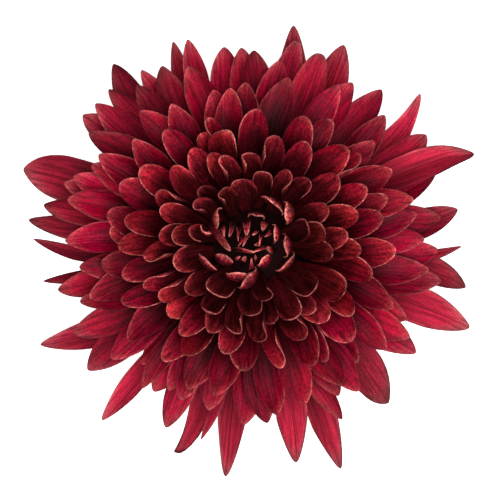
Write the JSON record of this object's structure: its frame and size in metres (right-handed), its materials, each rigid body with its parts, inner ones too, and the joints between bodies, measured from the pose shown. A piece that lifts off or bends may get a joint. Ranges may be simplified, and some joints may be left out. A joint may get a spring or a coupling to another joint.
{
  "type": "pompon chrysanthemum",
  "caption": "Cut chrysanthemum bloom lying on its back: a dense dome of spoon-shaped florets over long pointed rays, a green bract cup and a cut stem stub.",
  "frame": {"origin": "middle of the flower's bounding box in plan, on the surface that the bloom lies on", "axes": "+Z up along the flower's axis, from the stem to the face of the bloom; +X to the right and +Y up in a view from straight above"},
  "size_m": [0.0982, 0.0984, 0.0429],
  "materials": {
    "petal": "velvety fresh petal",
    "bract": "matt leaf green",
    "stem": "satin leaf green"
  },
  "bodies": {
    "root": {"ray_florets": "petal", "involucre": "bract", "stem_stub": "stem"}
  },
  "joints": []
}
